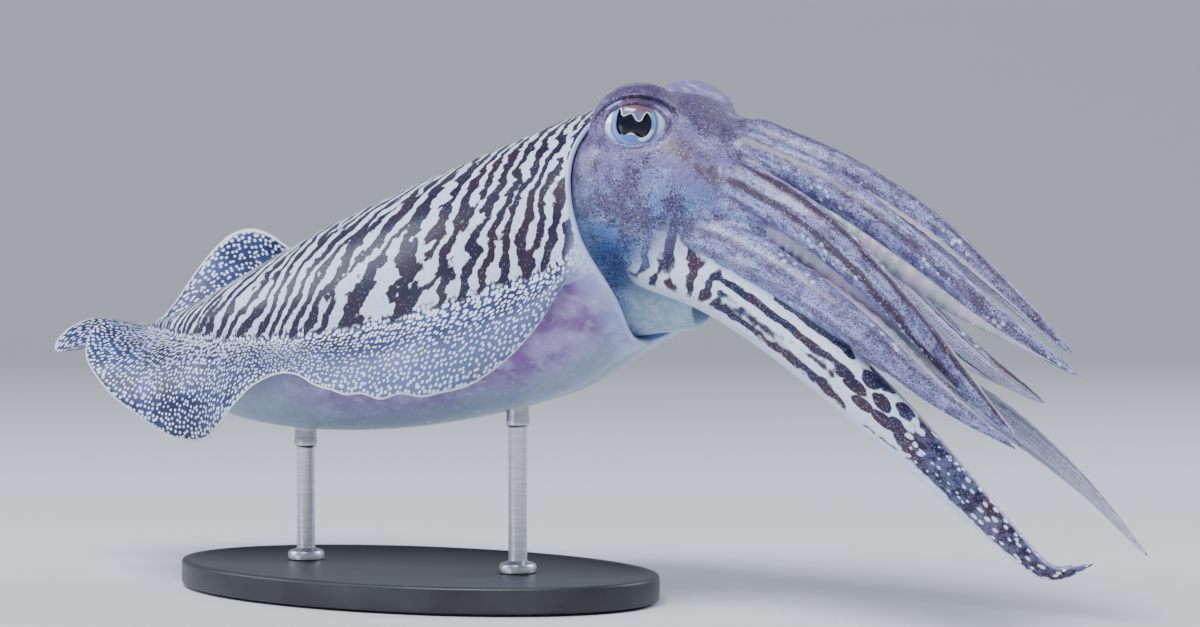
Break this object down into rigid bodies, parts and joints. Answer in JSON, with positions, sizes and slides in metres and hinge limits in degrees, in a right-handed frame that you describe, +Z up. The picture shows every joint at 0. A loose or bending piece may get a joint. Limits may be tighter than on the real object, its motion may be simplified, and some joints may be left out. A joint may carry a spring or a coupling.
{
  "type": "common cuttlefish model on a display stand",
  "caption": "Life-size common cuttlefish, hovering with its fins rippling and its arms reached forward, held over an oval display base by rods.",
  "frame": {"origin": "centre of the display base's underside", "axes": "+X the way the cuttlefish heads, +Z up, its right side towards -Y; the base rests at Z = 0"},
  "size_m": [0.3833, 0.1244, 0.1651],
  "materials": {
    "mantle_skin": "smooth wet skin with bright zebra bands above and a pale lilac belly",
    "fin_skin": "thin skin set with small white dots, with a pale edge",
    "head_skin": "grey-lilac skin with fine dark speckles, bluer on the cheeks",
    "arm_skin": "pale skin with dark bars and spots, and suckers on the mouth side",
    "funnel_skin": "thin pale blue-white skin",
    "eye": "wet silvery eye with a black W-shaped pupil",
    "stand_plate": "satin charcoal plate",
    "stand_rod": "brushed steel rod"
  },
  "bodies": {
    "root": {"arm_1_left_base": "arm_skin", "arm_1_left_mid": "arm_skin", "arm_1_left_tip": "arm_skin", "arm_1_right_base": "arm_skin", "arm_1_right_mid": "arm_skin", "arm_1_right_tip": "arm_skin", "arm_2_left_base": "arm_skin", "arm_2_left_mid": "arm_skin", "arm_2_left_tip": "arm_skin", "arm_2_right_base": "arm_skin", "arm_2_right_mid": "arm_skin", "arm_2_right_tip": "arm_skin", "arm_3_left_base": "arm_skin", "arm_3_left_mid": "arm_skin", "arm_3_left_tip": "arm_skin", "arm_3_right_base": "arm_skin", "arm_3_right_mid": "arm_skin", "arm_3_right_tip": "arm_skin", "arm_4_left_base": "arm_skin", "arm_4_left_mid": "arm_skin", "arm_4_left_tip": "arm_skin", "arm_4_right_base": "arm_skin", "arm_4_right_mid": "arm_skin", "arm_4_right_tip": "arm_skin", "eye_left": "eye", "eye_right": "eye", "fin_left_front": "fin_skin", "fin_left_rear": "fin_skin", "fin_right_front": "fin_skin", "fin_right_rear": "fin_skin", "funnel": "funnel_skin", "head": "head_skin", "mantle": "mantle_skin", "stand_base": "stand_plate", "stand_rod_front": "stand_rod", "stand_rod_rear": "stand_rod"}
  },
  "joints": []
}
